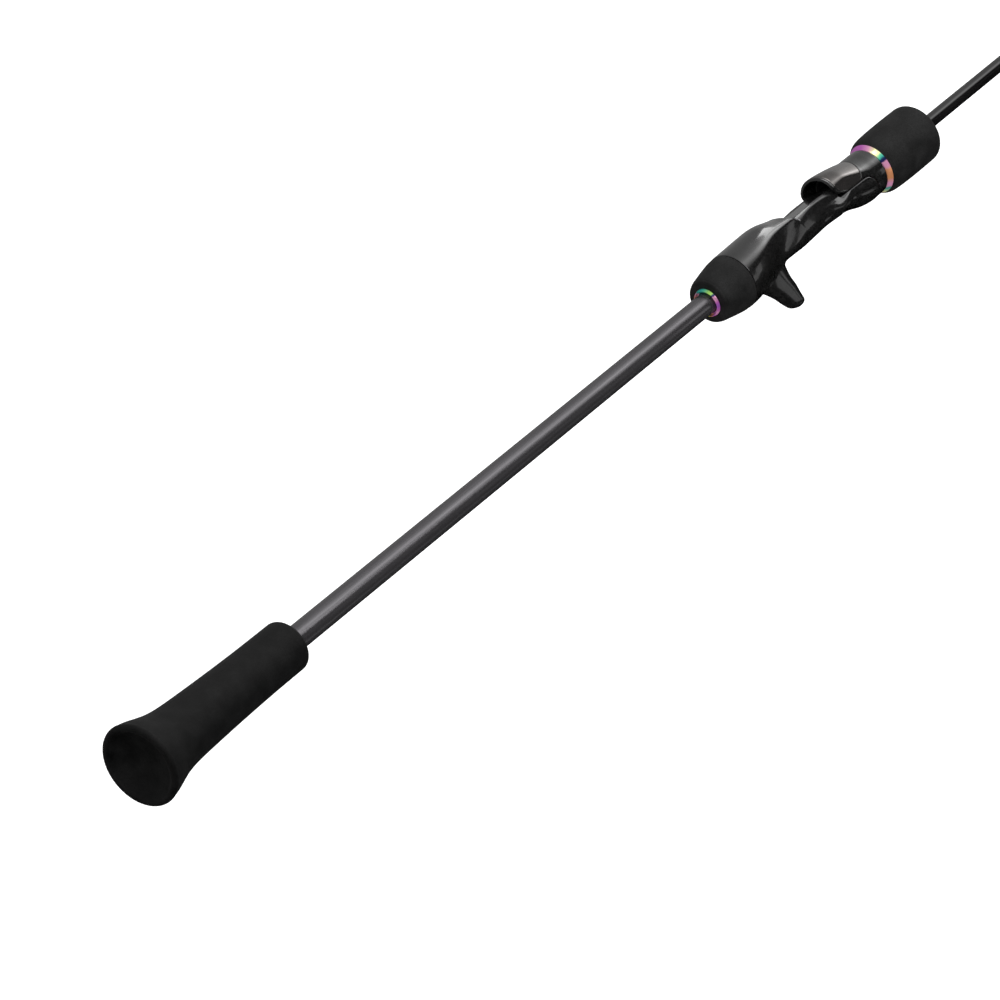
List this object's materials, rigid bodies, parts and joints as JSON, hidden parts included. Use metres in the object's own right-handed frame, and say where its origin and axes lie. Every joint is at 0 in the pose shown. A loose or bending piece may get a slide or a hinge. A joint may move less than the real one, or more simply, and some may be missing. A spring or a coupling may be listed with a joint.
{
  "type": "fishing rod",
  "caption": "One-piece fishing rod with a trigger reel seat that takes a low-profile reel, a screw-locked sliding hood, foam grips, trim rings and tapered line guides.",
  "frame": {"origin": "middle of the flat reel deck between the two hoods", "axes": "+X along the rod towards its tip, +Z out of the reel deck, the trigger points to -Z"},
  "size_m": [1.9051, 0.0446, 0.0554],
  "materials": {
    "eva_foam": "fine matte closed-cell foam",
    "handle_tube_finish": "satin clear coat over carbon",
    "blank_lacquer": "deep gloss clear coat over carbon",
    "seat_black": "gloss black over a fine woven fleck",
    "hood_gunmetal": "gloss warm grey metallic",
    "iridescent_trim": "rainbow coated, polished",
    "moulded_nylon": "as moulded",
    "cushion_rubber": "matte",
    "spring_steel": "satin",
    "guide_frame_metal": "dark polished",
    "guide_ceramic": "polished",
    "thread_wrap": "lacquered thread"
  },
  "bodies": {
    "root": {"butt_grip": "eva_foam", "butt_check_ring": "iridescent_trim", "handle_tube": "handle_tube_finish", "rear_check_ring": "iridescent_trim", "rear_grip_cone": "eva_foam", "ferrule_bush": "moulded_nylon", "blank": "blank_lacquer", "seat_body": "seat_black", "rear_arbor": "moulded_nylon", "front_arbor": "moulded_nylon", "guide_1_wrap_rear": "thread_wrap", "guide_1_wrap_front": "thread_wrap", "guide_1_frame": "guide_frame_metal", "guide_1_ring": "guide_ceramic", "guide_2_wrap_rear": "thread_wrap", "guide_2_wrap_front": "thread_wrap", "guide_2_frame": "guide_frame_metal", "guide_2_ring": "guide_ceramic", "guide_3_wrap_rear": "thread_wrap", "guide_3_wrap_front": "thread_wrap", "guide_3_frame": "guide_frame_metal", "guide_3_ring": "guide_ceramic", "guide_4_wrap_rear": "thread_wrap", "guide_4_frame": "guide_frame_metal", "guide_4_ring": "guide_ceramic", "guide_5_wrap_rear": "thread_wrap", "guide_5_frame": "guide_frame_metal", "guide_5_ring": "guide_ceramic", "guide_6_wrap_rear": "thread_wrap", "guide_6_frame": "guide_frame_metal", "guide_6_ring": "guide_ceramic", "guide_7_wrap_rear": "thread_wrap", "guide_7_frame": "guide_frame_metal", "guide_7_ring": "guide_ceramic", "guide_8_wrap_rear": "thread_wrap", "guide_8_frame": "guide_frame_metal", "guide_8_ring": "guide_ceramic", "guide_9_wrap_rear": "thread_wrap", "guide_9_frame": "guide_frame_metal", "guide_9_ring": "guide_ceramic", "tip_top_frame": "guide_frame_metal", "tip_top_ring": "guide_ceramic", "tip_top_wrap": "thread_wrap"},
    "hood": {"hood_frame": "seat_black", "hood_cover": "hood_gunmetal", "hood_cushion": "cushion_rubber"},
    "nut": {"lock_nut": "moulded_nylon", "hood_clip": "spring_steel", "fore_check_ring": "iridescent_trim", "foregrip": "eva_foam"}
  },
  "joints": [
    {"name": "hood_slide", "type": "slide", "parent": "root", "child": "hood", "axis": [1, 0, 0], "range_m": [0, 0.012]},
    {"name": "nut_turn", "type": "hinge", "parent": "hood", "child": "nut", "pos_m": [0.06, 0, -0.007], "axis": [1, 0, 0], "range_deg": [0, 1440]}
  ],
  "couplings": [
    {"joint": "nut_turn", "follows": "hood_slide", "rad_per_m": 2094.4}
  ]
}
